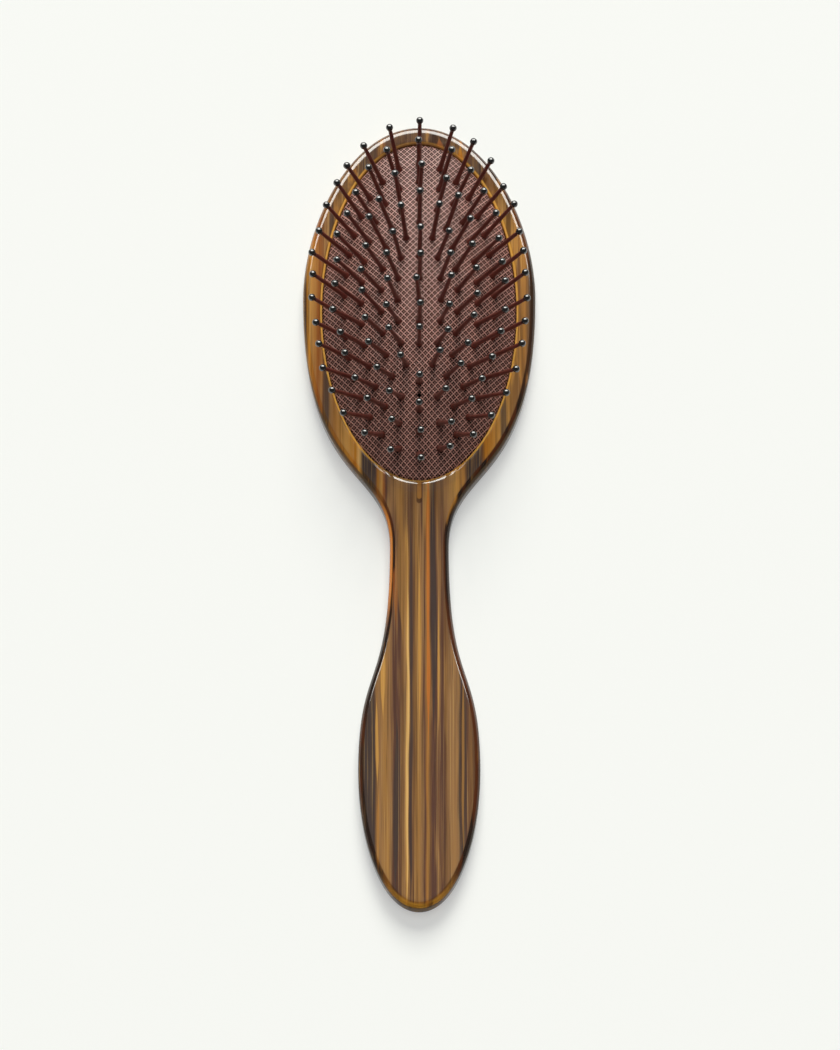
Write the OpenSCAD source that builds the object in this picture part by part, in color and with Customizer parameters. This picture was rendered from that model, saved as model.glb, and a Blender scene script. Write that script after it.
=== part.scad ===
// Detangling brush: a one-piece acetate body with a rubber air cushion and ball-tipped pins.
// It lies on its flat back with the pins up, in millimetres.
// +X is across the head, +Y runs from the handle to the top of the head, and +Z is up.
// The origin is on the back, under the middle of the cushion.

/* [Body] */
// Length from the top of the head to the end of the handle
overall_length = 223; // [205:0.5:240]
// From the middle of the cushion to the top of the head
head_reach = 54.4; // [51:0.2:60]
// Greatest width of the head
head_width = 64; // [60:0.5:70]
// How far above the middle of the cushion the head is widest
head_widest_place = 4; // [0:0.5:8]
// Least width, at the neck
neck_width = 16; // [12:0.5:22]
// From the middle of the cushion down to the neck
neck_place = 68; // [62:0.1:74]
// Greatest width of the grip
grip_width = 32.8; // [26:0.2:40]
// From the middle of the cushion down to the widest part of the grip
grip_place = 130.4; // [120:0.2:138]
// Thickness of the sheet that the body is cut from
body_thickness = 7.5; // [6.5:0.5:10]
// Radius round the edges of the body
edge_radius = 2; // [1:0.25:3]

/* [Air chamber] */
// Width of the rim round the mouth of the chamber
rim_width = 5.3; // [4.5:0.1:7]
// Thickness of the floor under the chamber
floor_thickness = 1.6; // [1:0.1:2]
// Depth of the rounding of the mouth's edge
mouth_radius = 0.7; // [0.3:0.1:1]
// Width of the rounding of the mouth's edge, towards the rim
mouth_edge_width = 1.3; // [0.5:0.1:1.6]
// Depth of the lip that holds the cushion down
lip_height = 2.6; // [2:0.1:3]
// Height of the groove under the lip
groove_height = 1.9; // [1.5:0.1:2.2]
// How far the groove is cut in behind the lip
groove_depth = 1.6; // [1.2:0.1:2.2]

/* [Cushion] */
// Rise of the crown above the edge of the cushion
cushion_rise = 9.8; // [6:0.2:13]
// How far the edge of the cushion lies below the face of the body
cushion_sink = 0.8; // [0.4:0.1:1.4]
// Thickness of the rubber
rubber_thickness = 1.5; // [1:0.1:2]
// Gap between the cushion and the wall of the mouth
cushion_gap = 0.3; // [0.2:0.05:0.5]
// Diameter of the air hole
vent_diameter = 1.1; // [0.6:0.1:1.8]
// From the middle of the cushion down to the air hole
vent_place = 26.8; // [26:0.1:27.6]

/* [Pins] */
// Length of a pin from the rubber to the middle of its ball
pin_length = 17.6; // [12:0.2:22]
// Diameter of the ball tip
ball_diameter = 2; // [1.6:0.1:2.6]
// Diameter of a pin where it enters the ball
shaft_tip_diameter = 1.05; // [0.8:0.05:1.2]
// Diameter of a pin above its foot
shaft_base_diameter = 1.35; // [1.25:0.05:1.5]
// Diameter of the foot that seats on the rubber
foot_diameter = 2; // [1.7:0.1:2.6]
// Height of the flared foot
foot_height = 2.4; // [1.5:0.1:4]
// Diameter of the neck that passes through the rubber
neck_diameter = 1.4; // [1:0.1:1.5]
// Diameter of the anchor head under the rubber
anchor_diameter = 2.6; // [2.2:0.1:3]
// Thickness of the anchor head
anchor_thickness = 0.8; // [0.5:0.1:1.2]
// How far a pin may lean away from square to the rubber, in degrees
pin_stray = 2.5; // [0:0.5:3]

/* [Pin layout] */
// Pins in the outer ring
outer_ring_pins = 34; // [26:2:36]
// Pins in the second ring
second_ring_pins = 28; // [20:2:30]
// Pins in the third ring
third_ring_pins = 22; // [16:2:24]
// Pins in the inner ring
inner_ring_pins = 16; // [12:2:18]
// Pins in the row down the middle
middle_row_pins = 5; // [3:1:6]

/* [Hidden] */

// Colours
ACETATE = [0.56, 0.40, 0.20];
RUBBER = [0.45, 0.25, 0.22];
PIN_NYLON = [0.36, 0.12, 0.10];
TIP_BLACK = [0.05, 0.05, 0.06];

// Reach of each curve's handle, as a share of the stretch or the half width that it shapes
crown_share = 0.58;
temple_share = 0.45;
cheek_share = 0.76;
shoulder_share = 0.353;
neck_share = 0.654;
grip_top_share = 0.49;
grip_end_share = 0.52;
tail_share = 0.605;

// Half width and half length of each ring of pins, as shares of the mouth's
ring_width_shares = [0.768, 0.598, 0.393, 0.224];
ring_length_shares = [0.864, 0.741, 0.623, 0.470];
// Half length of the middle row, as a share of the mouth's
row_length_share = 0.258;

// Fineness of the curves
curve_steps = 24;
edge_steps = 5;
mouth_steps = 96;
cushion_steps = 60;
cushion_bands = 8;
arc_steps = 120;
pin_facets = 24;
ball_facets = 32;

// Running clearances and the overrun of the cuts
seat_gap = 0.08;
anchor_gap = 0.2;
neck_gap = 0.06;
socket_gap = 0.02;
groove_gap = 0.1;
overrun = 1;

// Derived sizes
tail_reach = overall_length - head_reach;
mouth_a = head_width / 2 - rim_width;
mouth_b = head_reach - rim_width;
groove_top = body_thickness - lip_height;
groove_bottom = groove_top - groove_height;
cushion_a = mouth_a - cushion_gap;
cushion_b = mouth_b - cushion_gap;
cushion_edge = body_thickness - cushion_sink;
flange_width = groove_depth + cushion_gap - groove_gap;
flange_bottom = groove_bottom + groove_gap;
flange_top = groove_top - groove_gap;
ring_pins = [outer_ring_pins, second_ring_pins, third_ring_pins, inner_ring_pins];

// A point on a cubic curve with four control points
function on_curve(p, t) =
    pow(1 - t, 3) * p[0] + 3 * pow(1 - t, 2) * t * p[1] + 3 * (1 - t) * t * t * p[2] + t * t * t * p[3];

// The outward direction there, for a curve that runs clockwise
function out_of_curve(p, t) =
    let (d = 3 * pow(1 - t, 2) * (p[1] - p[0]) + 6 * (1 - t) * t * (p[2] - p[1]) + 3 * t * t * (p[3] - p[2]))
    [-d[1], d[0]] / norm(d);

// The right half of the outline: crown, cheek, neck and grip, each one curve
function outline_curves() =
    let (
        head = head_width / 2,
        neck = neck_width / 2,
        grip = grip_width / 2,
        crown = head_reach - head_widest_place,
        cheek = head_widest_place + neck_place,
        waist = grip_place - neck_place,
        tail = tail_reach - grip_place
    )
    [
        [[0, head_reach], [head * crown_share, head_reach],
         [head, head_widest_place + crown * temple_share], [head, head_widest_place]],
        [[head, head_widest_place], [head, head_widest_place - cheek * cheek_share],
         [neck, cheek * shoulder_share - neck_place], [neck, -neck_place]],
        [[neck, -neck_place], [neck, -neck_place - waist * neck_share],
         [grip, waist * grip_top_share - grip_place], [grip, -grip_place]],
        [[grip, -grip_place], [grip, -grip_place - tail * grip_end_share],
         [grip * tail_share, -tail_reach], [0, -tail_reach]]
    ];

// The whole outline drawn in by an inset, clockwise from the top of the head
function outline(inset) =
    let (
        curves = outline_curves(),
        half = [
            for (c = curves, i = [0 : curve_steps - 1])
                on_curve(c, i / curve_steps) + inset * out_of_curve(c, i / curve_steps) * -1
        ],
        last = on_curve(curves[3], 1) + inset * out_of_curve(curves[3], 1) * -1
    )
    concat(half, [last], [for (i = [len(half) - 1 : -1 : 1]) [-half[i][0], half[i][1]]]);

// An ellipse with its points clockwise from the top
function ellipse(a, b, steps) = [for (i = [0 : steps - 1]) [a * sin(360 * i / steps), b * cos(360 * i / steps)]];

// The same points at one height
function at_height(points, z) = [for (p = points) [p[0], p[1], z]];

// A closed solid through rings of equal count, from the lowest to the highest
module loft(rings) {
    n = len(rings[0]);
    last = (len(rings) - 1) * n;
    walls = [
        for (k = [0 : len(rings) - 2], i = [0 : n - 1], side = [0, 1])
            let (j = (i + 1) % n)
            side == 0
                ? [k * n + i, k * n + j, (k + 1) * n + j]
                : [k * n + i, (k + 1) * n + j, (k + 1) * n + i]
    ];
    rungs = [
        for (i = [0 : n / 2 - 1], side = [0, 1])
            if (side == 0 ? i > 0 : i < n / 2 - 1)
                side == 0
                    ? [i, i + 1, n - i]
                    : [i + 1, n - i - 1, (n - i) % n]
    ];
    lower_cap = [for (f = rungs) [f[2], f[1], f[0]]];
    upper_cap = [for (f = rungs) [last + f[0], last + f[1], last + f[2]]];
    polyhedron([for (r = rings, p = r) p], concat(walls, lower_cap, upper_cap));
}

// The plain slab of the body with its rounded edges
module body_blank() {
    turns = [for (i = [0 : edge_steps]) 90 * i / edge_steps];
    loft(concat(
        [for (a = turns) at_height(outline(edge_radius * (1 - sin(a))), edge_radius * (1 - cos(a)))],
        [
            for (i = [edge_steps : -1 : 0])
                at_height(
                    outline(edge_radius * (1 - sin(turns[i]))),
                    body_thickness - edge_radius * (1 - cos(turns[i]))
                )
        ]
    ));
}

// An oval prism between two heights
module oval(a, b, bottom, top) {
    translate([0, 0, bottom])
        linear_extrude(top - bottom)
            polygon(ellipse(a, b, mouth_steps));
}

module brush_body() {
    color(ACETATE)
        difference() {
            body_blank();
            oval(mouth_a, mouth_b, floor_thickness, body_thickness + overrun);
            oval(mouth_a + groove_depth, mouth_b + groove_depth, groove_bottom, groove_top);
            mouth_edge();
        }
}

// The mouth's own oval, widened by an amount, at a height
function mouth_ring(widening, z) =
    at_height(ellipse(mouth_a + widening, mouth_b + widening, mouth_steps), z);

// The flared cut that rounds the edge of the mouth
module mouth_edge() {
    low = body_thickness - mouth_radius;
    turns = [for (i = [0 : edge_steps]) 90 * i / edge_steps];
    loft(concat(
        [mouth_ring(-mouth_radius, low - mouth_radius)],
        [for (a = turns) mouth_ring(mouth_edge_width * (1 - cos(a)), low + mouth_radius * sin(a))],
        [mouth_ring(mouth_edge_width, body_thickness + overrun)]
    ));
}

// Height of the crowned rubber at a place
function crown_height(x, y) = cushion_edge + cushion_rise * (1 - pow(x / cushion_a, 2) - pow(y / cushion_b, 2));

// The direction square to the rubber there
function crown_normal(x, y) =
    let (n = [2 * cushion_rise * x / pow(cushion_a, 2), 2 * cushion_rise * y / pow(cushion_b, 2), 1])
    n / norm(n);

// One band of the crown, a share of the way out, sunk square to its surface
function crown_ring(share, sink) = [
    for (p = ellipse(cushion_a * share, cushion_b * share, cushion_steps))
        [p[0], p[1], crown_height(p[0], p[1])] - sink * crown_normal(p[0], p[1])
];

module cushion_outside() {
    wide = ellipse(cushion_a + flange_width, cushion_b + flange_width, cushion_steps);
    edge = ellipse(cushion_a, cushion_b, cushion_steps);
    loft(concat(
        [at_height(wide, flange_bottom), at_height(wide, flange_top), at_height(edge, flange_top)],
        [for (i = [cushion_bands : -1 : 1]) crown_ring(i / cushion_bands, 0)]
    ));
}

module cushion_inside() {
    well = ellipse(cushion_a - rubber_thickness, cushion_b - rubber_thickness, cushion_steps);
    loft(concat(
        [at_height(well, flange_bottom - overrun), at_height(well, flange_top)],
        [for (i = [cushion_bands - 1 : -1 : 1]) crown_ring(i / cushion_bands, rubber_thickness)]
    ));
}

module cushion() {
    color(RUBBER)
        difference() {
            cushion_outside();
            cushion_inside();
            on_rubber(all_places())
                translate([0, 0, -rubber_thickness - overrun])
                    cylinder(d = neck_diameter + 2 * neck_gap, h = rubber_thickness + 2 * overrun, $fn = pin_facets);
            translate([0, -vent_place, flange_top])
                cylinder(d = vent_diameter, h = cushion_rise + body_thickness, $fn = pin_facets);
        }
}

// Arc length against angle round an ellipse, to space a ring evenly
function arc_table(a, b) = [
    for (
        i = 0, run = 0;
        i <= arc_steps;
        run = run + norm(oval_point(a, b, (i + 1) / arc_steps) - oval_point(a, b, i / arc_steps)), i = i + 1
    )
        [run, 360 * i / arc_steps]
];
function oval_point(a, b, turn) = [a * sin(360 * turn), b * cos(360 * turn)];

// The places of one ring's pins: the two sides, or the two ends towards the crown and the neck
function ring_places(ring, sides) =
    let (
        a = mouth_a * ring_width_shares[ring],
        b = mouth_b * ring_length_shares[ring],
        table = arc_table(a, b),
        run = table[arc_steps][0],
        count = ring_pins[ring]
    )
    [
        for (k = [0 : count - 1])
            let (t = lookup(run * k / count, table))
            if ((abs(sin(t)) > abs(cos(t))) == sides)
                [a * sin(t), b * cos(t), arc_steps * ring + k]
    ];

function row_places() = [
    for (k = [0 : middle_row_pins - 1])
        [0, mouth_b * row_length_share * (1 - 2 * k / (middle_row_pins - 1)), arc_steps * len(ring_pins) + k]
];

function all_places() = concat(
    [for (ring = [0 : len(ring_pins) - 1], sides = [true, false], p = ring_places(ring, sides)) p],
    row_places()
);

// Stands its children on the rubber at each place, square to it but for a small stray
module on_rubber(places) {
    for (p = places) {
        n = crown_normal(p[0], p[1]);
        stray = rands(-pin_stray, pin_stray, 2, p[2]);
        translate([p[0], p[1], crown_height(p[0], p[1])])
            rotate([0, acos(n[2]), atan2(n[1], n[0])])
                rotate([stray[0], stray[1], 0])
                    children();
    }
}

// A moulded pin: anchor head, neck, flared foot and tapered shaft
module pin() {
    anchor_top = -rubber_thickness - anchor_gap;
    rotate_extrude($fn = pin_facets)
        polygon([
            [0, anchor_top - anchor_thickness],
            [anchor_diameter / 2, anchor_top - anchor_thickness],
            [anchor_diameter / 2, anchor_top],
            [neck_diameter / 2, anchor_top],
            [neck_diameter / 2, seat_gap],
            [foot_diameter / 2, seat_gap],
            [shaft_base_diameter / 2, foot_height],
            [shaft_tip_diameter / 2, pin_length],
            [0, pin_length]
        ]);
}

// A ball with the blind socket that the pin ends in
module ball_tip() {
    translate([0, 0, pin_length])
        difference() {
            sphere(d = ball_diameter, $fn = ball_facets);
            translate([0, 0, -ball_diameter])
                cylinder(d = shaft_tip_diameter + 2 * tip_taper() + 2 * socket_gap,
                         h = ball_diameter + socket_gap, $fn = pin_facets);
        }
}

// How much wider the shaft has grown at the bottom of the ball, on the radius
function tip_taper() =
    (shaft_base_diameter - shaft_tip_diameter) / 2 * (ball_diameter / 2) / (pin_length - foot_height);

module pins_at(places) color(PIN_NYLON) on_rubber(places) pin();
module tips_at(places) color(TIP_BLACK) on_rubber(places) ball_tip();

module pins_outer_ring_sides() { pins_at(ring_places(0, true)); }
module pins_outer_ring_ends() { pins_at(ring_places(0, false)); }
module tips_outer_ring_sides() { tips_at(ring_places(0, true)); }
module tips_outer_ring_ends() { tips_at(ring_places(0, false)); }
module pins_second_ring_sides() { pins_at(ring_places(1, true)); }
module pins_second_ring_ends() { pins_at(ring_places(1, false)); }
module tips_second_ring_sides() { tips_at(ring_places(1, true)); }
module tips_second_ring_ends() { tips_at(ring_places(1, false)); }
module pins_third_ring_sides() { pins_at(ring_places(2, true)); }
module pins_third_ring_ends() { pins_at(ring_places(2, false)); }
module tips_third_ring_sides() { tips_at(ring_places(2, true)); }
module tips_third_ring_ends() { tips_at(ring_places(2, false)); }
module pins_inner_ring_sides() { pins_at(ring_places(3, true)); }
module pins_inner_ring_ends() { pins_at(ring_places(3, false)); }
module tips_inner_ring_sides() { tips_at(ring_places(3, true)); }
module tips_inner_ring_ends() { tips_at(ring_places(3, false)); }
module pins_middle_row() { pins_at(row_places()); }
module tips_middle_row() { tips_at(row_places()); }

brush_body();
cushion();
pins_outer_ring_sides();
pins_outer_ring_ends();
tips_outer_ring_sides();
tips_outer_ring_ends();
pins_second_ring_sides();
pins_second_ring_ends();
tips_second_ring_sides();
tips_second_ring_ends();
pins_third_ring_sides();
pins_third_ring_ends();
tips_third_ring_sides();
tips_third_ring_ends();
pins_inner_ring_sides();
pins_inner_ring_ends();
tips_inner_ring_sides();
tips_inner_ring_ends();
pins_middle_row();
tips_middle_row();
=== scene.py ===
"""An oval cushion brush: polished striped acetate, a latticed rubber cushion and fanned ball-tipped pins."""

import math

import bpy
import numpy as np
from mathutils import Matrix, Vector


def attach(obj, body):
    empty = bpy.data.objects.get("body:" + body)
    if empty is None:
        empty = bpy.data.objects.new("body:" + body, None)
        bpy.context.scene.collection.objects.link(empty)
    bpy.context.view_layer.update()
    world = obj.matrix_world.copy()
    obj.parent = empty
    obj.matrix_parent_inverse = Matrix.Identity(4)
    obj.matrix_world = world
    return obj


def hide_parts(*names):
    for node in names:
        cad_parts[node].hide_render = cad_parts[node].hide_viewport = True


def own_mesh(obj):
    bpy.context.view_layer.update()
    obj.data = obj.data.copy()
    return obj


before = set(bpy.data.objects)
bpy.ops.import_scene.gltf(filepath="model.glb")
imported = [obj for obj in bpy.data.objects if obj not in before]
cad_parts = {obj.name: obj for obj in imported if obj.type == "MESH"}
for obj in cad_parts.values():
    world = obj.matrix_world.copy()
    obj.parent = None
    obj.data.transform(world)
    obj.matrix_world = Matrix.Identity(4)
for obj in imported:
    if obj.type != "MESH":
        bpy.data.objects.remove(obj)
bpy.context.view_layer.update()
MM = 0.001

# Sizes in millimetres, the same as the CAD's
HEAD_REACH = 54.4
HEAD_HALF = 32
HEAD_WIDEST = 4
NECK_HALF = 8
NECK_PLACE = 68
GRIP_HALF = 16.4
GRIP_PLACE = 130.4
TAIL_REACH = 168.6
THICKNESS = 7.5
EDGE_RADIUS = 2
MOUTH_A = 26.7
MOUTH_B = 49.1
MOUTH_RADIUS = 0.7
MOUTH_SOFT = 1.3
LIP_BOTTOM = 4.9
GROOVE_BOTTOM = 3
GROOVE_DEPTH = 1.6
CHAMBER_FLOOR = 1.6
CUSHION_A = 26.4
CUSHION_B = 48.8
CUSHION_EDGE = 6.7
CUSHION_RISE = 9.8
RUBBER = 1.5
FLANGE_WIDTH = 1.8
FLANGE_TOP = 4.8
VENT_PLACE = -26.8
VENT_RADIUS = 0.55
PIN_LENGTH = 17.6
PIN_BOTTOM = -2.5

# Handles of the outline as shares of the way to the next knot, or of the half width at its two ends
CROWN_SHARE = 0.58
TEMPLE_SHARE = 0.45
CHEEK_SHARE = 0.76
SHOULDER_SHARE = 0.353
NECK_SHARE = 0.654
GRIP_TOP_SHARE = 0.49
GRIP_END_SHARE = 0.52
TAIL_SHARE = 0.605

# Sizes in millimetres that only this scene has, and how many strong ridges cross the rubber
FLAT_RING = 0.25
PIN_HOLE_RADIUS = 0.85
HOLE_MARGIN = 0.65
LATTICE_PITCH = 1.2
LATTICE_STRETCH = 1.06
LATTICE_DEPTH = 0.22
LATTICE_RIDGES = 69

# Groups of pins that move together
GROUPS = ["outer_ring_sides", "outer_ring_ends", "second_ring_sides", "second_ring_ends",
          "third_ring_sides", "third_ring_ends", "inner_ring_sides", "inner_ring_ends", "middle_row"]


# Selection and editing

def deselect():
    bpy.ops.object.select_all(action="DESELECT")


def edit(piece, mode="VERT"):
    """Opens one piece for editing, with nothing selected."""
    deselect()
    piece.select_set(True)
    bpy.context.view_layer.objects.active = piece
    bpy.ops.object.mode_set(mode="EDIT")
    bpy.ops.mesh.select_mode(type=mode)
    bpy.ops.mesh.select_all(action="DESELECT")


def leave():
    bpy.ops.object.mode_set(mode="OBJECT")


def edit_chosen(piece, chosen, mode="VERT"):
    """Opens a piece for editing, with the chosen vertices selected and the edges between them."""
    edit(piece, mode)
    leave()
    mesh = piece.data
    mesh.vertices.foreach_set("select", chosen)
    mesh.edges.foreach_set("select", chosen[edge_ends(mesh)].all(axis=1))
    bpy.ops.object.mode_set(mode="EDIT")


def edit_widest(piece, side):
    """Opens a piece for editing, with its widest face selected that looks up (1) or down (-1)."""
    edit(piece, "FACE")
    leave()
    level = [face for face in piece.data.polygons if face.normal.z * side > 0.99]
    max(level, key=lambda face: face.area).select = True
    bpy.ops.object.mode_set(mode="EDIT")


def vertex_places(mesh):
    places = np.zeros(len(mesh.vertices) * 3)
    mesh.vertices.foreach_get("co", places)
    return places.reshape(-1, 3) / MM


def set_places(mesh, places):
    mesh.vertices.foreach_set("co", (places * MM).ravel())
    mesh.update()


def edge_ends(mesh):
    """The two vertices of every edge."""
    ends = np.zeros(len(mesh.edges) * 2, int)
    mesh.edges.foreach_get("vertices", ends)
    return ends.reshape(-1, 2)


def open_vertices(mesh):
    """Tells of every vertex whether it is on an edge that has only one face."""
    edges = np.zeros(len(mesh.loops), int)
    mesh.loops.foreach_get("edge_index", edges)
    faces = np.bincount(edges, minlength=len(mesh.edges))
    chosen = np.zeros(len(mesh.vertices), bool)
    chosen[edge_ends(mesh)[faces == 1].ravel()] = True
    return chosen


def extrude_ring(down, oval=(1, 1), to=(1, 1)):
    """Extrudes the selected ring by a drop and stretches it from one oval to another."""
    bpy.ops.mesh.extrude_region_move(TRANSFORM_OT_translate={"value": (0, 0, -down * MM)})
    bpy.ops.transform.resize(value=(to[0] / oval[0], to[1] / oval[1], 1), center_override=(0, 0, 0))


def finish_mesh(piece, angle):
    """Merges doubles, turns the faces outward and smooths the shading up to an angle."""
    edit(piece)
    bpy.ops.mesh.select_all(action="SELECT")
    bpy.ops.mesh.remove_doubles(threshold=0.001 * MM)
    bpy.ops.mesh.normals_make_consistent(inside=False)
    leave()
    bpy.ops.object.shade_smooth_by_angle(angle=math.radians(angle))


# Body

def outline_knots():
    """Knots of the outline, clockwise from the crown, each with the handle before it and after it."""
    crown = HEAD_REACH - HEAD_WIDEST
    cheek = HEAD_WIDEST + NECK_PLACE
    waist = GRIP_PLACE - NECK_PLACE
    tail = TAIL_REACH - GRIP_PLACE
    # Each knot on the right side, with the lengths of its handles up and down
    right = [
        (HEAD_HALF, HEAD_WIDEST, crown * TEMPLE_SHARE, cheek * CHEEK_SHARE),
        (NECK_HALF, -NECK_PLACE, cheek * SHOULDER_SHARE, waist * NECK_SHARE),
        (GRIP_HALF, -GRIP_PLACE, waist * GRIP_TOP_SHARE, tail * GRIP_END_SHARE)
    ]
    top = HEAD_HALF * CROWN_SHARE
    end = GRIP_HALF * TAIL_SHARE
    knots = [((0, HEAD_REACH), (-top, HEAD_REACH), (top, HEAD_REACH))]
    for x, y, up, down in right:
        knots.append(((x, y), (x, y + up), (x, y - down)))
    knots.append(((0, -TAIL_REACH), (end, -TAIL_REACH), (-end, -TAIL_REACH)))
    for x, y, up, down in reversed(right):
        knots.append(((-x, y), (-x, y - down), (-x, y + up)))
    return knots


def body_outline():
    bpy.ops.curve.primitive_bezier_circle_add(radius=HEAD_HALF * MM)
    curve = bpy.context.object
    bpy.ops.object.mode_set(mode="EDIT")
    bpy.ops.curve.select_all(action="SELECT")
    bpy.ops.curve.subdivide()
    leave()
    points = curve.data.splines[0].bezier_points
    for point, (place, before, after) in zip(points, outline_knots()):
        point.handle_left_type = "FREE"
        point.handle_right_type = "FREE"
        point.co = Vector((*place, 0)) * MM
        point.handle_left = Vector((*before, 0)) * MM
        point.handle_right = Vector((*after, 0)) * MM
    curve.data.resolution_u = 36
    bpy.ops.object.convert(target="MESH")
    return bpy.context.object


def mouth(offset):
    """The half axes of the mouth's oval, grown all round by an offset."""
    return MOUTH_A + offset, MOUTH_B + offset


def rounded_slab():
    """The whole sheet with both its edges rounded."""
    body = body_outline()
    edit(body)
    bpy.ops.mesh.select_all(action="SELECT")
    bpy.ops.mesh.edge_face_add()
    bpy.ops.mesh.extrude_region_move(TRANSFORM_OT_translate={"value": (0, 0, THICKNESS * MM)})
    bpy.ops.mesh.select_all(action="SELECT")
    bpy.ops.mesh.normals_make_consistent(inside=False)
    leave()
    for height in (THICKNESS, 0):
        edit_chosen(body, np.abs(vertex_places(body.data)[:, 2] - height) < 0.01, "EDGE")
        bpy.ops.mesh.bevel(offset=EDGE_RADIUS * MM, segments=9, profile=0.5, affect="EDGES",
                           clamp_overlap=False)
        leave()
    # A narrow flat ring inside each rounded edge keeps the faces flat
    for side in (1, -1):
        edit_widest(body, side)
        bpy.ops.mesh.inset(thickness=FLAT_RING * MM)
        leave()
    return body


def cut_mouth(body):
    """Cuts the mouth's oval out of the top and leaves the body in edit mode with the oval selected."""
    edit_widest(body, 1)
    bpy.ops.mesh.delete(type="ONLY_FACE")
    leave()
    count = len(body.data.vertices)
    edit(body)
    bpy.ops.mesh.primitive_circle_add(vertices=256, radius=MM, location=(0, 0, THICKNESS * MM))
    bpy.ops.transform.resize(value=(*mouth(MOUTH_SOFT + FLAT_RING), 1), center_override=(0, 0, 0))
    leave()
    edit(body, "EDGE")
    bpy.ops.mesh.select_non_manifold(extend=False, use_wire=True, use_boundary=True,
                                     use_multi_face=False, use_non_contiguous=False, use_verts=False)
    bpy.ops.mesh.fill(use_beauty=True)
    leave()
    edit_chosen(body, np.arange(len(body.data.vertices)) >= count, "EDGE")


def hollow_out(body):
    """Rounds the mouth's edge and goes on down the lip and the groove behind it to the chamber's floor."""
    cut_mouth(body)
    extrude_ring(0, mouth(MOUTH_SOFT + FLAT_RING), mouth(MOUTH_SOFT))
    steps = 10
    for k in range(steps):
        a = math.pi / 2 * k / steps
        b = math.pi / 2 * (k + 1) / steps
        extrude_ring(MOUTH_RADIUS * (math.cos(a) - math.cos(b)),
                     mouth(MOUTH_SOFT * (1 - math.sin(a))), mouth(MOUTH_SOFT * (1 - math.sin(b))))
    extrude_ring(THICKNESS - MOUTH_RADIUS - LIP_BOTTOM)
    extrude_ring(0, mouth(0), mouth(GROOVE_DEPTH))
    extrude_ring(LIP_BOTTOM - GROOVE_BOTTOM)
    extrude_ring(0, mouth(GROOVE_DEPTH), mouth(0))
    extrude_ring(GROOVE_BOTTOM - CHAMBER_FLOOR)
    bpy.ops.mesh.edge_face_add()
    leave()


def make_body():
    body = rounded_slab()
    body.name = "acetate_body"
    hollow_out(body)
    finish_mesh(body, 32)
    return body


# Pins

def pin_axes(node):
    """Where each pin of a CAD node seats on the rubber and which way it points."""
    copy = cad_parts[node].copy()
    copy.data = copy.data.copy()
    bpy.context.scene.collection.objects.link(copy)
    copy.parent = None
    edit(copy)
    bpy.ops.mesh.select_all(action="SELECT")
    bpy.ops.mesh.remove_doubles(threshold=0.002 * MM)
    bpy.ops.mesh.separate(type="LOOSE")
    leave()
    axes = []
    for part in list(bpy.context.selected_objects):
        mesh = part.data
        places = vertex_places(mesh)
        middle = places.mean(0)
        along = np.linalg.svd(places - middle, full_matrices=False)[2][0]
        along = along * np.sign(along[2])
        reach = (places - middle) @ along
        axes.append((middle + along * (reach.min() - PIN_BOTTOM), along))
        bpy.data.objects.remove(part)
        bpy.data.meshes.remove(mesh)
    axes.sort(key=lambda axis: (round(axis[0][1], 2), round(axis[0][0], 2)))
    return axes


def turned_shape(name, profile, sides):
    """A closed shape of revolution about Z, from its radii and heights, the lowest first."""
    radius, height = profile[0]
    bpy.ops.mesh.primitive_circle_add(vertices=sides, radius=MM, location=(0, 0, height * MM),
                                      fill_type="NGON")
    piece = bpy.context.object
    piece.name = name
    bpy.ops.object.transform_apply(location=True, rotation=False, scale=False)
    edit(piece)
    bpy.ops.mesh.select_all(action="SELECT")
    bpy.ops.transform.resize(value=(radius, radius, 1), center_override=(0, 0, 0))
    bpy.ops.mesh.select_mode(type="EDGE")
    bpy.ops.mesh.region_to_loop()
    for wide, high in profile[1:]:
        extrude_ring(height - high, (radius, radius), (wide, wide))
        radius, height = wide, high
    bpy.ops.mesh.edge_face_add()
    leave()
    finish_mesh(piece, 50)
    return piece


def make_pin_shape():
    """Anchor head, neck, flared foot and tapered shaft, moulded in one."""
    anchor = [(1.15, PIN_BOTTOM), (1.3, PIN_BOTTOM + 0.12), (1.3, -1.7), (0.7, -1.7), (0.7, 0.02)]
    foot = [(1.0, 0.02), (1.0, 0.14), (0.93, 0.42), (0.85, 0.8), (0.77, 1.25), (0.71, 1.8), (0.67, 2.4)]
    shaft = [(0.6, 9), (0.525, PIN_LENGTH)]
    return turned_shape("pin", anchor + foot + shaft, 16)


def make_tip_shape():
    """A dipped ball: a sphere with a small fillet where it runs onto the shaft."""
    fillet = [(0.545, -1.32), (0.575, -1.14), (0.64, -0.98)]
    sphere = [(math.sin(a), -math.cos(a)) for a in np.radians(range(46, 172, 12))]
    return turned_shape("tip", [(radius, z + PIN_LENGTH) for radius, z in fillet + sphere], 20)


def copies_at(shape, axes, name):
    """One piece made of copies of a shape, each stood on its seat."""
    copies = []
    for seat, along in axes:
        turn = Vector((0, 0, 1)).rotation_difference(Vector(along)).to_matrix().to_4x4()
        mesh = shape.data.copy()
        mesh.transform(Matrix.Translation(Vector(seat) * MM) @ turn)
        copy = bpy.data.objects.new(name, mesh)
        bpy.context.scene.collection.objects.link(copy)
        copies.append(copy)
    deselect()
    for copy in copies:
        copy.select_set(True)
    bpy.context.view_layer.objects.active = copies[0]
    bpy.ops.object.join()
    piece = bpy.context.object
    piece.name = name
    piece.data.name = name
    return piece


# Cushion

def oval_share(places):
    """How far out each place is: 0 in the middle of the cushion, 1 on its edge."""
    return np.hypot(places[:, 0] / CUSHION_A, places[:, 1] / CUSHION_B)


def crown_height(places):
    return CUSHION_EDGE + CUSHION_RISE * (1 - oval_share(places) ** 2)


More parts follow.
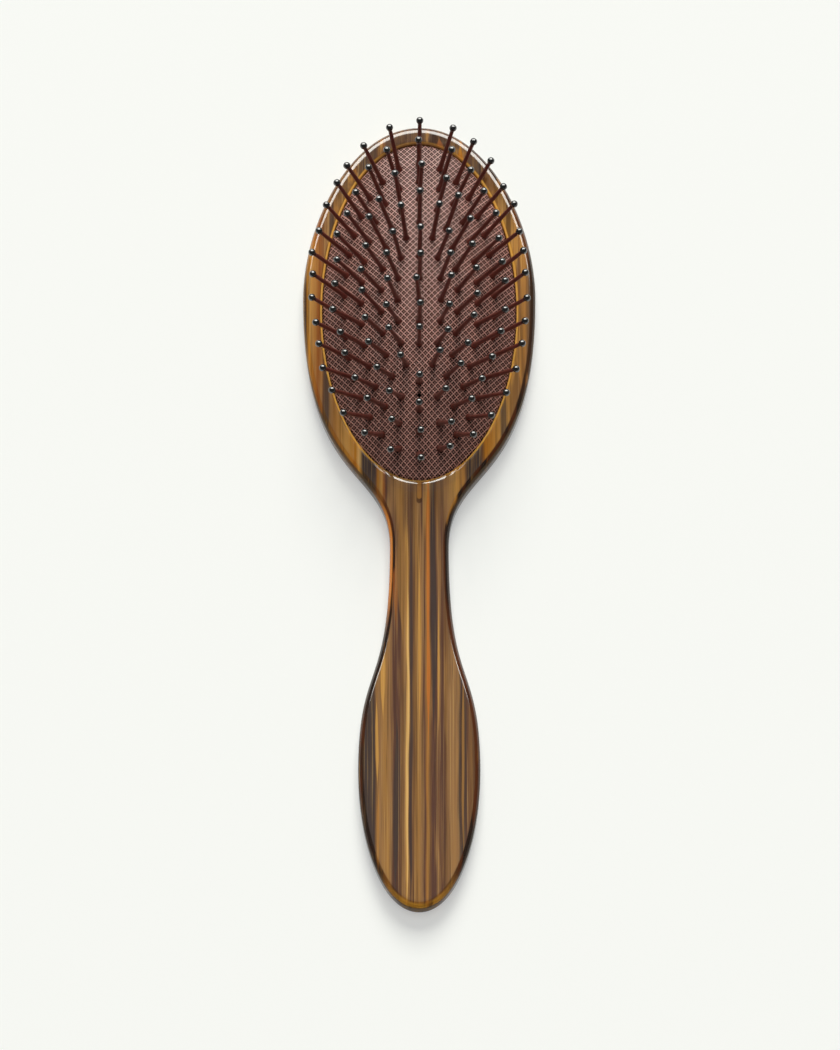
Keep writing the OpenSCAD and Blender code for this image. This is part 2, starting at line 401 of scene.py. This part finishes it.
def from_axis(places, seat, direction):
    """The way from a hole's seat to each place: the part along the hole's axis, the part away from it
    and the distance from it."""
    offset = places - seat
    along = (offset @ direction)[:, None] * direction
    away = offset - along
    return along, away, np.linalg.norm(away, axis=1)


def lattice_sheet():
    """A flat sheet of small squares that stand on a corner, each vertex with the strength of its ridge."""
    step = LATTICE_PITCH / 4
    cells = 4 * LATTICE_RIDGES
    bpy.ops.mesh.primitive_grid_add(x_subdivisions=cells, y_subdivisions=cells, size=cells * step * MM,
                                    rotation=(0, 0, math.radians(45)))
    sheet = bpy.context.object
    sheet.scale = (1, LATTICE_STRETCH, 1)
    bpy.ops.object.transform_apply(location=True, rotation=True, scale=True)
    # Ridges run along both diagonals, a weak one midway between two strong ones
    strength = np.array([1, 0, 0.5, 0])
    x, y = vertex_places(sheet.data)[:, :2].T
    lines = [(x + side * y / LATTICE_STRETCH) / math.sqrt(2) / step for side in (1, -1)]
    ridge = np.maximum(*[strength[np.rint(line).astype(int) % 4] for line in lines])
    level = sheet.data.attributes.new("ridge", "FLOAT", "POINT")
    level.data.foreach_set("value", ridge)
    return sheet


def trim_sheet(cushion, holes):
    """Crowns the sheet, trims it to just inside the oval and opens it for the pins and the air hole."""
    places = vertex_places(cushion.data)
    places[:, 2] = crown_height(places)
    outside = oval_share(places) ** 2 > 0.995
    for seat, direction, radius in holes:
        outside |= from_axis(places, seat, direction)[2] < radius
    set_places(cushion.data, places)
    edit_chosen(cushion, outside)
    bpy.ops.mesh.delete(type="VERT")
    bpy.ops.mesh.select_all(action="SELECT")
    bpy.ops.mesh.delete_loose(use_verts=True, use_edges=True, use_faces=False)
    leave()


def round_rims(cushion, holes):
    """Draws the jagged rims onto the oval and the round holes."""
    places = vertex_places(cushion.data)
    rim = open_vertices(cushion.data)
    share = oval_share(places)
    edge = rim & (share > 0.96)
    places[edge, :2] /= share[edge][:, None]
    for seat, direction, radius in holes:
        along, away, distance = from_axis(places, seat, direction)
        near = rim & (distance < radius + HOLE_MARGIN)
        places[near] = seat + along[near] + away[near] * (radius / distance[near])[:, None]
    places[:, 2] = crown_height(places)
    set_places(cushion.data, places)


def thicken(cushion):
    """Adds the skirt and the flange, then the thickness of the rubber."""
    mesh = cushion.data
    edge = open_vertices(mesh) & (oval_share(vertex_places(mesh)) > 0.99)
    edit_chosen(cushion, edge, "EDGE")
    extrude_ring(CUSHION_EDGE - FLANGE_TOP)
    extrude_ring(0, (CUSHION_A, CUSHION_B), (CUSHION_A + FLANGE_WIDTH, CUSHION_B + FLANGE_WIDTH))
    bpy.ops.mesh.select_all(action="SELECT")
    bpy.ops.mesh.normals_make_consistent(inside=False)
    leave()
    wall = cushion.modifiers.new("wall", "SOLIDIFY")
    wall.thickness = RUBBER * MM
    wall.offset = -1
    bpy.ops.object.modifier_apply(modifier="wall")


def press_pits(cushion):
    """Presses the pits of the lattice into the outer skin, fading out towards the edge."""
    mesh = cushion.data
    places = vertex_places(mesh)
    skin = np.abs(places[:, 2] - crown_height(places)) < 0.05
    level = np.zeros(len(places))
    mesh.attributes["ridge"].data.foreach_get("value", level)
    fade = np.clip((1 - oval_share(places)) / 0.02, 0, 1)
    places[skin, 2] -= (LATTICE_DEPTH * (1 - level) * fade)[skin]
    set_places(mesh, places)


def make_cushion(axes):
    holes = [(seat, direction, PIN_HOLE_RADIUS) for seat, direction in axes]
    holes.append((np.array([0, VENT_PLACE, 0]), np.array([0, 0, 1]), VENT_RADIUS))
    cushion = lattice_sheet()
    cushion.name = "rubber_cushion"
    trim_sheet(cushion, holes)
    round_rims(cushion, holes)
    thicken(cushion)
    press_pits(cushion)
    bpy.ops.object.shade_smooth()
    return cushion


# Materials

class Recipe:
    """A material and short calls that add its nodes. Places are in millimetres."""

    def __init__(self, name):
        self.material = bpy.data.materials.new(name)
        self.material.use_nodes = True
        self.tree = self.material.node_tree
        self.shader = self.tree.nodes["Principled BSDF"]
        self.place = self.vector("MULTIPLY", self.add("ShaderNodeTexCoord").outputs["Object"],
                                 (1 / MM, 1 / MM, 1 / MM))

    def add(self, kind, **settings):
        node = self.tree.nodes.new(kind)
        for key, value in settings.items():
            setattr(node, key, value)
        return node

    def set(self, socket, value):
        if isinstance(value, bpy.types.NodeSocket):
            self.tree.links.new(value, socket)
        else:
            socket.default_value = value

    def feed(self, sockets, values):
        for socket, value in zip(sockets, values):
            self.set(socket, value)

    def look(self, name, value):
        """Sets an input of the shader."""
        self.set(self.shader.inputs[name], value)

    def math(self, operation, *values):
        node = self.add("ShaderNodeMath", operation=operation)
        self.feed(node.inputs, values)
        return node.outputs[0]

    def vector(self, operation, *values):
        node = self.add("ShaderNodeVectorMath", operation=operation)
        self.feed(node.inputs, values)
        return node.outputs[1 if operation == "LENGTH" else 0]

    def parts(self, vector):
        node = self.add("ShaderNodeSeparateXYZ")
        self.set(node.inputs[0], vector)
        return node.outputs

    def noise(self, scale, detail=2, roughness=0.5, shift=(0, 0, 0)):
        """Noise with one scale, or with one for each axis."""
        scales = scale if isinstance(scale, tuple) else (scale, scale, scale)
        node = self.add("ShaderNodeTexNoise")
        self.set(node.inputs["Vector"], self.vector("MULTIPLY_ADD", self.place, scales, shift))
        node.inputs["Scale"].default_value = 1
        node.inputs["Detail"].default_value = detail
        node.inputs["Roughness"].default_value = roughness
        return node.outputs[0]

    def sway(self, value, noise, reach):
        """A value moved up and down by a noise."""
        return self.math("MULTIPLY_ADD", self.math("SUBTRACT", noise, 0.5), reach, value)

    def layers(self, place, layers, reach):
        """Tones by place, from -reach to reach."""
        half = reach + 1
        node = self.add("ShaderNodeValToRGB")
        band = node.color_ramp
        while len(band.elements) < len(layers):
            band.elements.new(0.5)
        for element, (x, tone) in zip(band.elements, layers):
            element.position = (x + half) / (2 * half)
            element.color = tone
        self.set(node.inputs[0], self.math("MULTIPLY_ADD", place, 0.5 / half, 0.5))
        return node.outputs[0]

    def range(self, value, low, high, to_low=0, to_high=1):
        """A smooth step from to_low, at low, to to_high, at high."""
        node = self.add("ShaderNodeMapRange", interpolation_type="SMOOTHSTEP")
        self.feed(node.inputs, (value, low, high, to_low, to_high))
        return node.outputs[0]

    def mix(self, amount, first, second, blend="MIX"):
        node = self.add("ShaderNodeMix", data_type="RGBA", blend_type=blend)
        self.feed((node.inputs[0], *node.inputs[6:8]), (amount, first, second))
        return node.outputs[2]

    def between(self, amount, first, second):
        """A value on the way from the first to the second."""
        return self.math("MULTIPLY_ADD", self.math("SUBTRACT", second, first), amount, first)

    def bump(self, height, distance):
        node = self.add("ShaderNodeBump")
        node.inputs["Distance"].default_value = distance * MM
        self.set(node.inputs["Height"], height)
        self.look("Normal", node.outputs[0])


def rgb(red, green, blue):
    """A screen colour, 0 to 255, as the shader's linear one."""
    screen = (red / 255, green / 255, blue / 255)
    return (*[((c + 0.055) / 1.055) ** 2.4 if c > 0.04 else c / 12.92 for c in screen], 1)


MAROON = rgb(50, 26, 22)
# Painted shade for the rounded edges
EDGE_SHADE_RED = rgb(84, 42, 16)
# Dark tone for hairs in the sheet, and painted shade on the rounded edges and the right of the neck
DARK_HAIR_AND_SHADE = rgb(42, 27, 18)
UMBER = rgb(66, 42, 28)
SLATE = rgb(74, 62, 58)
PLUM = rgb(94, 66, 56)
BROWN = rgb(118, 84, 56)
TAN = rgb(150, 112, 74)
OCHRE = rgb(154, 112, 64)
HONEY = rgb(170, 118, 62)
RUSSET = rgb(150, 88, 44)
AMBER = rgb(176, 112, 34)
ORANGE = rgb(188, 112, 52)
# Painted glow on the left edge of the neck
NECK_PAINTED_GLOW = rgb(220, 132, 46)
GOLD = rgb(196, 146, 78)
STRAW = rgb(220, 176, 110)
# Painted glow at the end of the tail
TAIL_PAINTED_GLOW = rgb(236, 168, 58)
# Painted glow on the wall of the mouth
LIP_PAINTED_GLOW = rgb(240, 182, 88)
# Painted shade on the side walls, darkest at the tail
TAIL_WALL_SHADE = rgb(62, 50, 34)
DARK_WALL_SHADE = rgb(80, 64, 46)
PALE_WALL_SHADE = rgb(100, 82, 60)
# Painted light on the walls of the lit left of the head
LIT_WALL_PAINTED_LIGHT = rgb(156, 118, 68)
# Tint of the painted amber glow in the rounded edges
EDGE_GLOW_FILTER = (1.1, 0.88, 0.45, 1)

# Layers of the sheet from left to right: place and tone
HANDLE_LAYERS = [
    (-16.0, MAROON), (-14.4, SLATE), (-12.2, SLATE), (-11.5, BROWN), (-10.6, TAN), (-9.0, OCHRE),
    (-8.0, TAN), (-7.1, PLUM), (-5.8, PLUM), (-4.9, BROWN), (-3.9, TAN), (-3.4, GOLD), (-2.9, BROWN),
    (-2.3, PLUM), (-1.5, BROWN), (-0.4, OCHRE), (0.9, TAN), (1.6, PLUM), (2.3, HONEY), (2.9, BROWN),
    (3.6, PLUM), (4.7, PLUM), (5.5, TAN), (6.3, PLUM), (7.3, BROWN), (9.0, TAN), (10.2, TAN),
    (11.3, SLATE), (12.2, BROWN), (12.9, PLUM), (14.0, BROWN), (16.0, UMBER)
]
HEAD_LAYERS = [
    (-31.6, UMBER), (-30.4, GOLD), (-27.9, RUSSET), (-25.0, TAN), (-23.5, HONEY),
    (-20.0, GOLD), (-17.5, AMBER), (-16.7, STRAW), (-16.0, SLATE), (-12.2, SLATE), (-11.5, AMBER),
    (-10.7, GOLD), (-9.8, RUSSET), (-9.0, PLUM), (-7.6, TAN), (-4.6, OCHRE), (-3.0, PLUM), (-1.6, BROWN),
    (0.4, TAN), (1.3, PLUM), (2.3, GOLD), (3.4, SLATE), (4.6, BROWN), (8.0, TAN), (10.2, GOLD),
    (12.4, HONEY), (13.6, SLATE), (17.2, SLATE), (18.4, AMBER), (23.0, GOLD), (29.4, HONEY), (31.0, SLATE)
]

# Single streaks: place across, from and to along, half width, length of the pointed ends, tone and strength
STREAKS = [
    (-13.3, -160, -114, 1.4, 14, SLATE, 0.9),
    (-11.5, -136, -110, 0.5, 10, GOLD, 0.9),
    (-11.1, -166, -134, 0.4, 10, HONEY, 0.8),
    (-9.6, -118, -90, 0.8, 12, GOLD, 0.9),
    (-6.5, -92, -62, 0.7, 12, RUSSET, 0.7),
    (-6.4, -168, -112, 1.3, 26, SLATE, 0.9),
    (-4.6, -98, -54, 2.0, 20, OCHRE, 0.7),
    (-3.2, -172, -74, 0.4, 24, STRAW, 0.95),
    (-2.3, -172, -56, 0.55, 24, SLATE, 0.85),
    (0.1, -124, -64, 0.7, 30, GOLD, 0.85),
    (2.5, -126, -40, 0.5, 20, ORANGE, 0.9),
    (2.6, -172, -136, 0.4, 14, OCHRE, 0.7),
    (3.9, -122, -42, 1.05, 24, SLATE, 0.95),
    (5.3, -124, -78, 0.5, 24, GOLD, 0.8),
    (6.2, -164, -108, 1.6, 20, PLUM, 0.6),
    (8.8, -152, -98, 1.6, 20, TAN, 0.7),
    (11.8, -162, -98, 1.5, 20, SLATE, 0.85),
    (11.9, -158, -100, 0.5, 20, OCHRE, 0.85),
    (-25.8, -40, -2, 1.3, 10, SLATE, 0.8),
    (23.4, -50, -18, 1.3, 10, SLATE, 0.8),
    (27.0, -56, -14, 2.6, 12, BROWN, 0.7),
    (-24.0, 10, 33, 1.0, 7, SLATE, 0.8),
    (-28.2, -16, 6, 0.5, 8, RUSSET, 0.7),
    (27.4, -10, 20, 0.8, 9, PLUM, 0.7),
    (24.6, 14, 38, 0.9, 8, UMBER, 0.7),
    # The last two streaks are painted amber glow at the top of the mouth
    (5.6, 45, 51, 1.4, 3, RUSSET, 0.9),
    (11.3, 38, 49, 1.2, 5, AMBER, 0.95)
]

# The drip under the mouth and the dark rim behind it: half width, lowest point, tone and strength
DRIPS = [(0.95, -56.0, UMBER, 0.75), (0.75, -54.7, HONEY, 0.8)]


def sheet_colour(m, x, y, waver):
    """The layers of the sheet, which run its length, with threads, streaks and hairs."""
    # The layers wander slowly sideways, and every thin one a little by itself
    side = m.sway(m.sway(x, m.noise((0.05, 0.01, 0.05), 1), 2), waver, 1.4)
    on_head = m.range(m.sway(y, waver, 24), -66, -52)
    colour = m.mix(on_head, m.layers(side, HANDLE_LAYERS, 16), m.layers(side, HEAD_LAYERS, 32))
    # Finer threads of lighter and darker tone inside the layers
    thread = m.noise((1.3, 0.03, 0.3), 2, 0.6)
    colour = m.mix(m.range(thread, 0.5, 0.68, 0, 0.36), colour, m.mix(waver, GOLD, TAN))
    colour = m.mix(m.range(thread, 0.48, 0.32, 0, 0.45), colour, m.mix(waver, SLATE, UMBER))
    # Cooler and darker across the crown
    mottle = m.noise((0.4, 0.12, 0.3), 3, 0.6)
    crown = m.math("MULTIPLY", m.range(y, 16, 42), m.range(mottle, 0.66, 0.5, 0.25, 0.9))
    cool = m.mix(m.range(mottle, 0.36, 0.5), UMBER, m.mix(waver, SLATE, BROWN))
    colour = m.mix(crown, colour, cool)
    for centre, low, high, half, point, tone, strength in STREAKS:
        run = m.math("MULTIPLY", m.range(y, low, low + point), m.range(y, high, high - point))
        across = m.math("ABSOLUTE", m.math("SUBTRACT", side, centre))
        width = m.math("MULTIPLY_ADD", run, half, 0.02)
        inside = m.range(across, m.math("MULTIPLY", width, 0.4), width, strength, 0)
        colour = m.mix(inside, colour, tone)
    hair = m.noise((3.2, 0.02, 0.5), 1)
    colour = m.mix(m.range(hair, 0.6, 0.7, 0, 0.25), colour, STRAW)
    colour = m.mix(m.range(hair, 0.38, 0.3, 0, 0.32), colour, DARK_HAIR_AND_SHADE)
    for half, low, tone, strength in DRIPS:
        below = m.math("MAXIMUM", m.math("SUBTRACT", low + half, y), 0)
        away = m.math("SQRT", m.math("MULTIPLY_ADD", below, below, m.math("MULTIPLY", x, x)))
        drip = m.math("MULTIPLY", m.range(away, half, 0.6 * half, 0, strength), m.range(y, -44, -49))
        colour = m.mix(drip, colour, tone)
    return colour


def edge_colour(m, colour, y, waver, normal, steep):
    """The rounded edges, painted amber as glow and dark red as shade, and the side walls, painted darker as
    shade.
    """
    # The left and the top of the head stay light: the painted edge shade is spared on the lit left of the
    # head and weakened over its top
    lit_left_head = m.math("MULTIPLY", m.range(y, -60, -50), m.range(normal[0], 0.25, -0.45))
    spared = m.math("MULTIPLY_ADD", lit_left_head, -0.85, m.range(y, -30, -15, 1, 0.86))
    # Patches of painted shade on the rounded edges, few at the end of the tail
    behind = m.noise((0.3, 0.04, 0.1), 2, 0.6, shift=(7, 3, 1))
    edge_shade = m.math("MULTIPLY", m.range(behind, 0.38, 0.47), m.range(y, -167, -156, 0.1, 1))
    edge_shade = m.math("MULTIPLY", edge_shade, spared)
    # Painted glow on the rounded end of the tail
    glow = m.math("MULTIPLY", m.range(y, -158, -167), m.range(steep, 0.04, 0.2))
    glow = m.math("MULTIPLY", glow, m.range(behind, 0.55, 0.42, 0.62, 0.1))
    # The rounded edges get a painted amber glow, the tail's painted glow and the patches of painted shade
    painted_edge = m.mix(1, colour, EDGE_GLOW_FILTER, "MULTIPLY")
    painted_edge = m.mix(glow, painted_edge, TAIL_PAINTED_GLOW)
    painted_edge = m.mix(edge_shade, painted_edge, m.mix(m.range(waver, 0.4, 0.6), EDGE_SHADE_RED, DARK_HAIR_AND_SHADE))
    colour = m.mix(m.range(steep, 0.01, 0.06), colour, painted_edge)
    # The walls are painted darker than the sheet's layers as shade, darkest at the tail; they start higher
    # at the shoulders and lower at the tail
    shoulder = m.math("MULTIPLY", m.range(y, -66, -58), m.range(normal[1], -0.1, -0.35))
    wall = m.math("MULTIPLY_ADD", shoulder, 0.2, m.math("ADD", steep, m.range(y, -165, -150, -0.22, 0)))
    tone = m.mix(m.range(y, -150, -80), TAIL_WALL_SHADE, m.mix(waver, PALE_WALL_SHADE, DARK_WALL_SHADE))
    # Painted light on the walls of the lit left of the head
    tone = m.mix(m.math("MULTIPLY", lit_left_head, m.range(y, -24, -10)), tone, LIT_WALL_PAINTED_LIGHT)
    colour = m.mix(m.range(wall, 0.42, 0.54, 0, 0.8), colour, tone)
    # The neck is bright on the left and dark on the right: painted glow on its left edge, painted shade on
    # its right
    neck = m.math("MULTIPLY", m.range(y, -94, -78), m.range(y, -50, -60))
    left = m.math("MULTIPLY", m.range(normal[0], -0.5, -0.7), m.range(steep, 0.85, 0.7))
    colour = m.mix(m.math("MULTIPLY", neck, left), colour, NECK_PAINTED_GLOW)
    return m.mix(m.math("MULTIPLY", neck, m.range(normal[0], 0.3, 0.6)), colour, DARK_HAIR_AND_SHADE)


def sheet_shine(m, aside, normal, upright, steep, ring):
    """How much the sheet mirrors: most on the edges that face the light, little on walls and flat faces."""
    edges = m.range(m.math("MULTIPLY_ADD", normal[1], 0.5, upright), 0.3, 0.8, 0, 0.66)
    walls = m.range(normal[1], -0.9, -0.2, 0.02, 0.18)
    shine = m.math("MAXIMUM", edges, walls)
    shine = m.math("MULTIPLY", shine, m.range(steep, 0.0005, 0.004, 0.1, 1))
    shine = m.math("MULTIPLY", shine, m.range(normal[1], 0.02, 0.12, 1, 1.5))
    # The mouth's edge mirrors fully in the middle and hardly at the sides
    mouth_edge = m.range(aside, 8, 13, 1, 0.07)
    return m.between(m.range(ring, 1.08, 1.06), shine, mouth_edge)


def acetate_material():
    """Polished striped acetate of amber, tan, brown and plum."""
    m = Recipe("striped_acetate")
    x, y = m.parts(m.place)[:2]
    normal = m.parts(m.add("ShaderNodeNewGeometry").outputs["Normal"])
    upright = m.math("ABSOLUTE", normal[2])
    steep = m.math("SUBTRACT", 1, upright)
    aside = m.math("ABSOLUTE", x)
    waver = m.noise((0.35, 0.03, 0.2), 1)
    ring = m.vector("LENGTH", m.vector("MULTIPLY", m.place, (1 / MOUTH_A, 1 / MOUTH_B, 0)))
    colour = edge_colour(m, sheet_colour(m, x, y, waver), y, waver, normal, steep)
    # Painted gold glow on the wall of the mouth at the sides
    lip_glow = m.math("MULTIPLY", m.range(ring, 1.03, 1.01), m.range(aside, 8, 20, 0.3, 1))
    colour = m.mix(m.math("MULTIPLY", lip_glow, m.range(steep, 0, 0.1)), colour, LIP_PAINTED_GLOW)
    m.look("Base Color", colour)
    m.look("IOR", 1.5)
    m.look("Specular IOR Level", sheet_shine(m, aside, normal, upright, steep, ring))
    m.look("Roughness", m.range(m.noise(0.35), 0.3, 0.7, 0.04, 0.09))
    m.look("Subsurface Weight", 0.1)
    m.look("Subsurface Radius", (1, 0.45, 0.15))
    m.look("Subsurface Scale", 3 * MM)
    m.bump(m.noise(0.09, 1), 0.02)
    return m.material


def rubber_material():
    """Maroon rubber with a moulded lattice of fine ridges, every second one the weaker; the pits and the far
    end of the crown are painted darker as shade.
    """
    m = Recipe("cushion_rubber")
    x, y = m.parts(m.place)[:2]
    half = LATTICE_PITCH / 2
    ridges = []
    for side in ("ADD", "SUBTRACT"):
        run = m.math("DIVIDE", m.math(side, x, m.math("DIVIDE", y, LATTICE_STRETCH)), math.sqrt(2))
        near = m.math("PINGPONG", run, half)
        strong = m.range(near, 0.08, 0.2, 1, 0)
        weak = m.range(near, half - 0.05, half - 0.15, 0.58, 0)
        ridges.append(m.math("MAXIMUM", strong, weak))
    ridge = m.math("POWER", m.math("MAXIMUM", *ridges), 1.4)
    cloud = m.noise(0.12)
    grain = m.noise(3.5, 3, 0.6)
    # Painted shade in the pits of the lattice
    pit_shade = m.mix(cloud, rgb(12, 5, 4), rgb(18, 8, 7))
    top = m.mix(cloud, rgb(184, 130, 118), rgb(204, 150, 138))
    # Painted shade on the far end of the crown, which tilts away from the light
    top = m.mix(m.range(y, 30, 40, 0, 0.4), top, rgb(122, 78, 66))
    colour = m.mix(ridge, pit_shade, top)
    m.look("Base Color", m.mix(m.range(grain, 0.35, 0.7, 0, 0.08), colour, rgb(84, 46, 40)))
    m.look("Roughness", m.range(grain, 0.3, 0.7, 0.42, 0.54))
    gloss = m.range(m.math("ABSOLUTE", x), 5, 15, 0.75, 0.52)
    m.look("Specular IOR Level", m.math("MULTIPLY", ridge, gloss))
    m.bump(m.math("MULTIPLY_ADD", grain, 0.1, ridge), 0.18)
    return m.material


def pin_material():
    """Brown-maroon nylon with a faint moulded grain."""
    m = Recipe("pin_nylon")
    grain = m.noise(1.6, 3, 0.6)
    colour = m.mix(m.noise(0.25), rgb(98, 44, 35), rgb(122, 60, 49))
    m.look("Base Color", m.mix(m.range(grain, 0.4, 0.75, 0, 0.3), colour, rgb(76, 33, 27)))
    m.look("Roughness", m.range(grain, 0.3, 0.7, 0.3, 0.42))
    m.bump(grain, 0.02)
    return m.material


def tip_material():
    """Black enamel under a clear lacquer."""
    m = Recipe("tip_enamel")
    cloud = m.noise(0.8)
    m.look("Base Color", m.mix(cloud, rgb(8, 9, 8), rgb(16, 18, 16)))
    m.look("Roughness", m.range(cloud, 0.3, 0.7, 0.05, 0.1))
    m.look("IOR", 1.95)
    m.bump(m.noise(1.5, 1), 0.01)
    return m.material


def finish_with(piece, material, rides, node):
    piece.data.materials.clear()
    piece.data.materials.append(material)
    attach(piece, rides)
    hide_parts(node)


# Camera, floor and light

CAMERA_ELEVATION = 72.2
CAMERA_DISTANCE = 1500 * MM
CAMERA_TARGET = Vector((0.2, -61.4, 5.5)) * MM
FLOOR_SPAN = 16000 * MM
FLOOR_DROP = 0.1 * MM
FLOOR_TONE = (0.93, 0.939, 0.896, 1)
SEEN_TONE = (0.943, 0.957, 0.965, 1)
LAMP_TONE = (1.02, 1.02, 0.97)
LAMPS_AIM = Vector((0, -60, 0)) * MM
LAMP_DISTANCE = 12000 * MM
BOARD_DISTANCE = 13000 * MM


def add_camera():
    tilt = math.radians(90 - CAMERA_ELEVATION)
    place = CAMERA_TARGET + Vector((0, -math.sin(tilt), math.cos(tilt))) * CAMERA_DISTANCE
    bpy.ops.object.camera_add(location=place, rotation=(tilt, 0, 0))
    camera = bpy.context.object
    camera.name = "camera"
    camera.data.sensor_fit = "VERTICAL"
    camera.data.sensor_height = 24
    camera.data.lens = 126.2
    bpy.context.scene.camera = camera


def add_floor():
    bpy.ops.mesh.primitive_plane_add(size=FLOOR_SPAN, location=(0, 0, -FLOOR_DROP))
    floor = bpy.context.object
    floor.name = "floor"
    m = Recipe("pale_table")
    m.look("Base Color", FLOOR_TONE)
    m.look("Roughness", 0.9)
    m.look("Specular IOR Level", 0)
    # Part of what the camera and the reflections see is the floor's own pale tone, and far away all
    tone = m.add("ShaderNodeEmission")
    m.set(tone.inputs["Color"], SEEN_TONE)
    path = m.add("ShaderNodeLightPath")
    seen = m.math("MAXIMUM", path.outputs["Is Camera Ray"], path.outputs["Is Glossy Ray"])
    seen = m.math("MAXIMUM", seen, path.outputs["Is Transmission Ray"])
    own = m.range(m.vector("LENGTH", m.place), 400, 3000, 0.42, 1)
    either = m.add("ShaderNodeMixShader")
    m.feed(either.inputs, (m.math("MULTIPLY", seen, own), m.shader.outputs[0], tone.outputs[0]))
    m.set(m.tree.nodes["Material Output"].inputs[0], either.outputs[0])
    floor.data.materials.append(m.material)


def add_softbox(name, azimuth, elevation, wide, tall, glow, lights=True, shines=True):
    """A far rectangular lamp, by its direction and apparent size in degrees and by how bright it
    looks. One that lights nothing is only seen in reflections, as a white board is."""
    turn, rise = math.radians(azimuth), math.radians(elevation)
    direction = Vector((math.sin(turn) * math.cos(rise), math.cos(turn) * math.cos(rise), math.sin(rise)))
    distance = LAMP_DISTANCE if lights else BOARD_DISTANCE
    bpy.ops.object.light_add(type="AREA", location=LAMPS_AIM + direction * distance)
    lamp = bpy.context.object
    lamp.name = name
    lamp.rotation_euler = direction.to_track_quat("Z", "Y").to_euler()
    lamp.data.shape = "RECTANGLE"
    lamp.data.size = 2 * distance * math.tan(math.radians(wide / 2))
    lamp.data.size_y = 2 * distance * math.tan(math.radians(tall / 2))
    lamp.data.energy = glow * math.pi * lamp.data.size * lamp.data.size_y
    lamp.data.color = LAMP_TONE
    lamp.visible_diffuse = lights
    lamp.visible_glossy = shines


def add_world():
    """A faint even light, and the floor's tone where the camera sees past the floor."""
    world = bpy.data.worlds.new("studio")
    bpy.context.scene.world = world
    world.use_nodes = True
    tree = world.node_tree
    sky = tree.nodes["Background"]
    sky.inputs["Color"].default_value = (1, 1, 1, 1)
    sky.inputs["Strength"].default_value = 0.11
    shown = tree.nodes.new("ShaderNodeBackground")
    shown.inputs["Color"].default_value = FLOOR_TONE
    path = tree.nodes.new("ShaderNodeLightPath")
    either = tree.nodes.new("ShaderNodeMixShader")
    shaders = (path.outputs["Is Camera Ray"], sky.outputs[0], shown.outputs[0])
    for socket, value in zip(either.inputs, shaders):
        tree.links.new(value, socket)
    tree.links.new(either.outputs[0], tree.nodes["World Output"].inputs[0])


add_camera()
add_floor()
add_softbox("key", azimuth=2, elevation=43, wide=24, tall=32, glow=12.9, shines=False)
add_softbox("top", azimuth=0, elevation=86, wide=26, tall=26, glow=3.8, shines=False)
add_softbox("back_card", azimuth=0, elevation=42, wide=66, tall=44, glow=8, lights=False)
add_world()
bpy.context.scene.view_settings.view_transform = "Standard"

body = make_body()
finish_with(body, acetate_material(), "handle_and_cushion", "brush_body")

axes = {group: pin_axes("pins_" + group) for group in GROUPS}
cushion = make_cushion([axis for group in GROUPS for axis in axes[group]])
finish_with(cushion, rubber_material(), "handle_and_cushion", "cushion")
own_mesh(cushion)

pin_shape = make_pin_shape()
tip_shape = make_tip_shape()
nylon = pin_material()
enamel = tip_material()
for group in GROUPS:
    pins = copies_at(pin_shape, axes[group], "pins_" + group + "_shown")
    finish_with(pins, nylon, group, "pins_" + group)
    tips = copies_at(tip_shape, axes[group], "tips_" + group + "_shown")
    finish_with(tips, enamel, group, "tips_" + group)
for shape in (pin_shape, tip_shape):
    bpy.data.objects.remove(shape)
